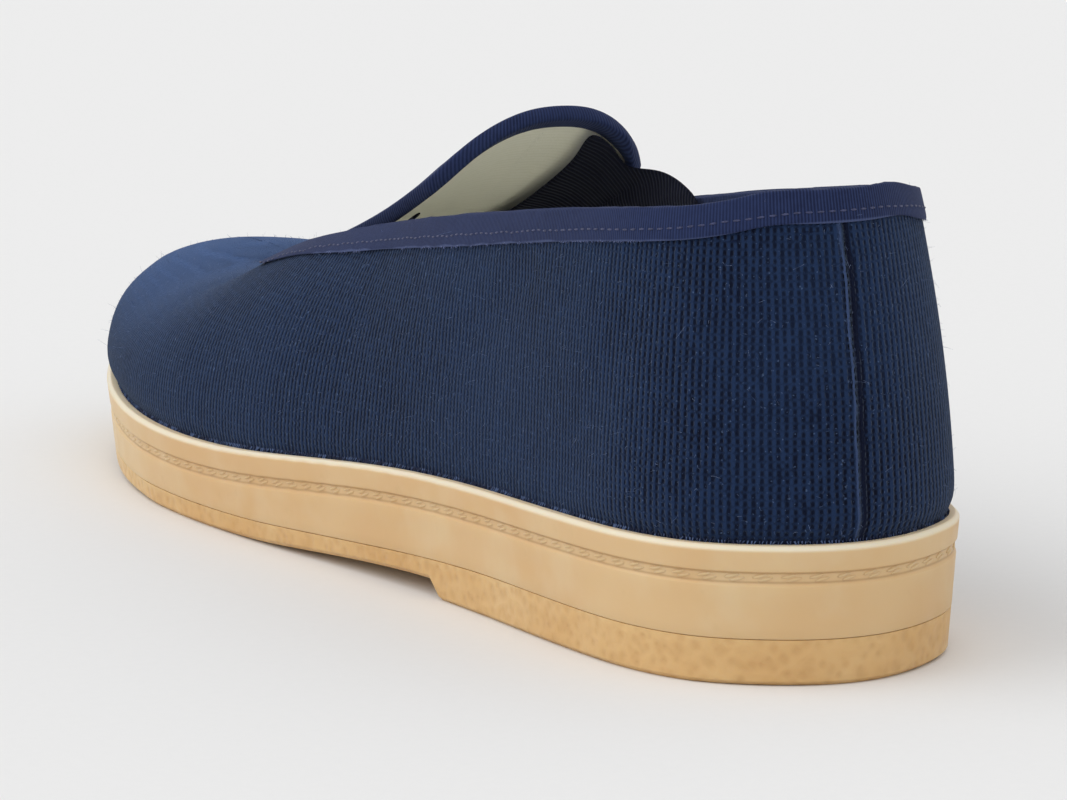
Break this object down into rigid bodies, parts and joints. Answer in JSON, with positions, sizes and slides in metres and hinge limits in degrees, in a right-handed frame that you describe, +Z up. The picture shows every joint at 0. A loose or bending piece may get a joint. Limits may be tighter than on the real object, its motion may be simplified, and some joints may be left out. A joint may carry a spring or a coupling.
{
  "type": "canvas slip-on shoe",
  "caption": "Low canvas slip-on plimsoll, left shoe: bound collar and tongue flap over elastic gussets, in a moulded rubber cup sole with a low heel.",
  "frame": {"origin": "on the ground plane, below the middle of the shoe's length and width", "axes": "+Z up, -Y towards the toe, +Y towards the heel, +X towards the shoe's outer side, which is the wearer's left"},
  "size_m": [0.0911, 0.2683, 0.0805],
  "materials": {
    "tread_rubber": "matte, finely pebbled",
    "cup_rubber": "smooth, satin",
    "insole_cloth": "matte cotton",
    "canvas": "matte, coarse weave",
    "tape": "matte, ribbed",
    "elastic": "matte, ribbed"
  },
  "bodies": {
    "root": {"outsole": "tread_rubber", "midsole": "cup_rubber", "insole": "insole_cloth", "upper": "canvas", "collar_tape": "tape", "tongue_tape": "tape", "gusset_outer": "elastic", "gusset_inner": "elastic"}
  },
  "joints": []
}
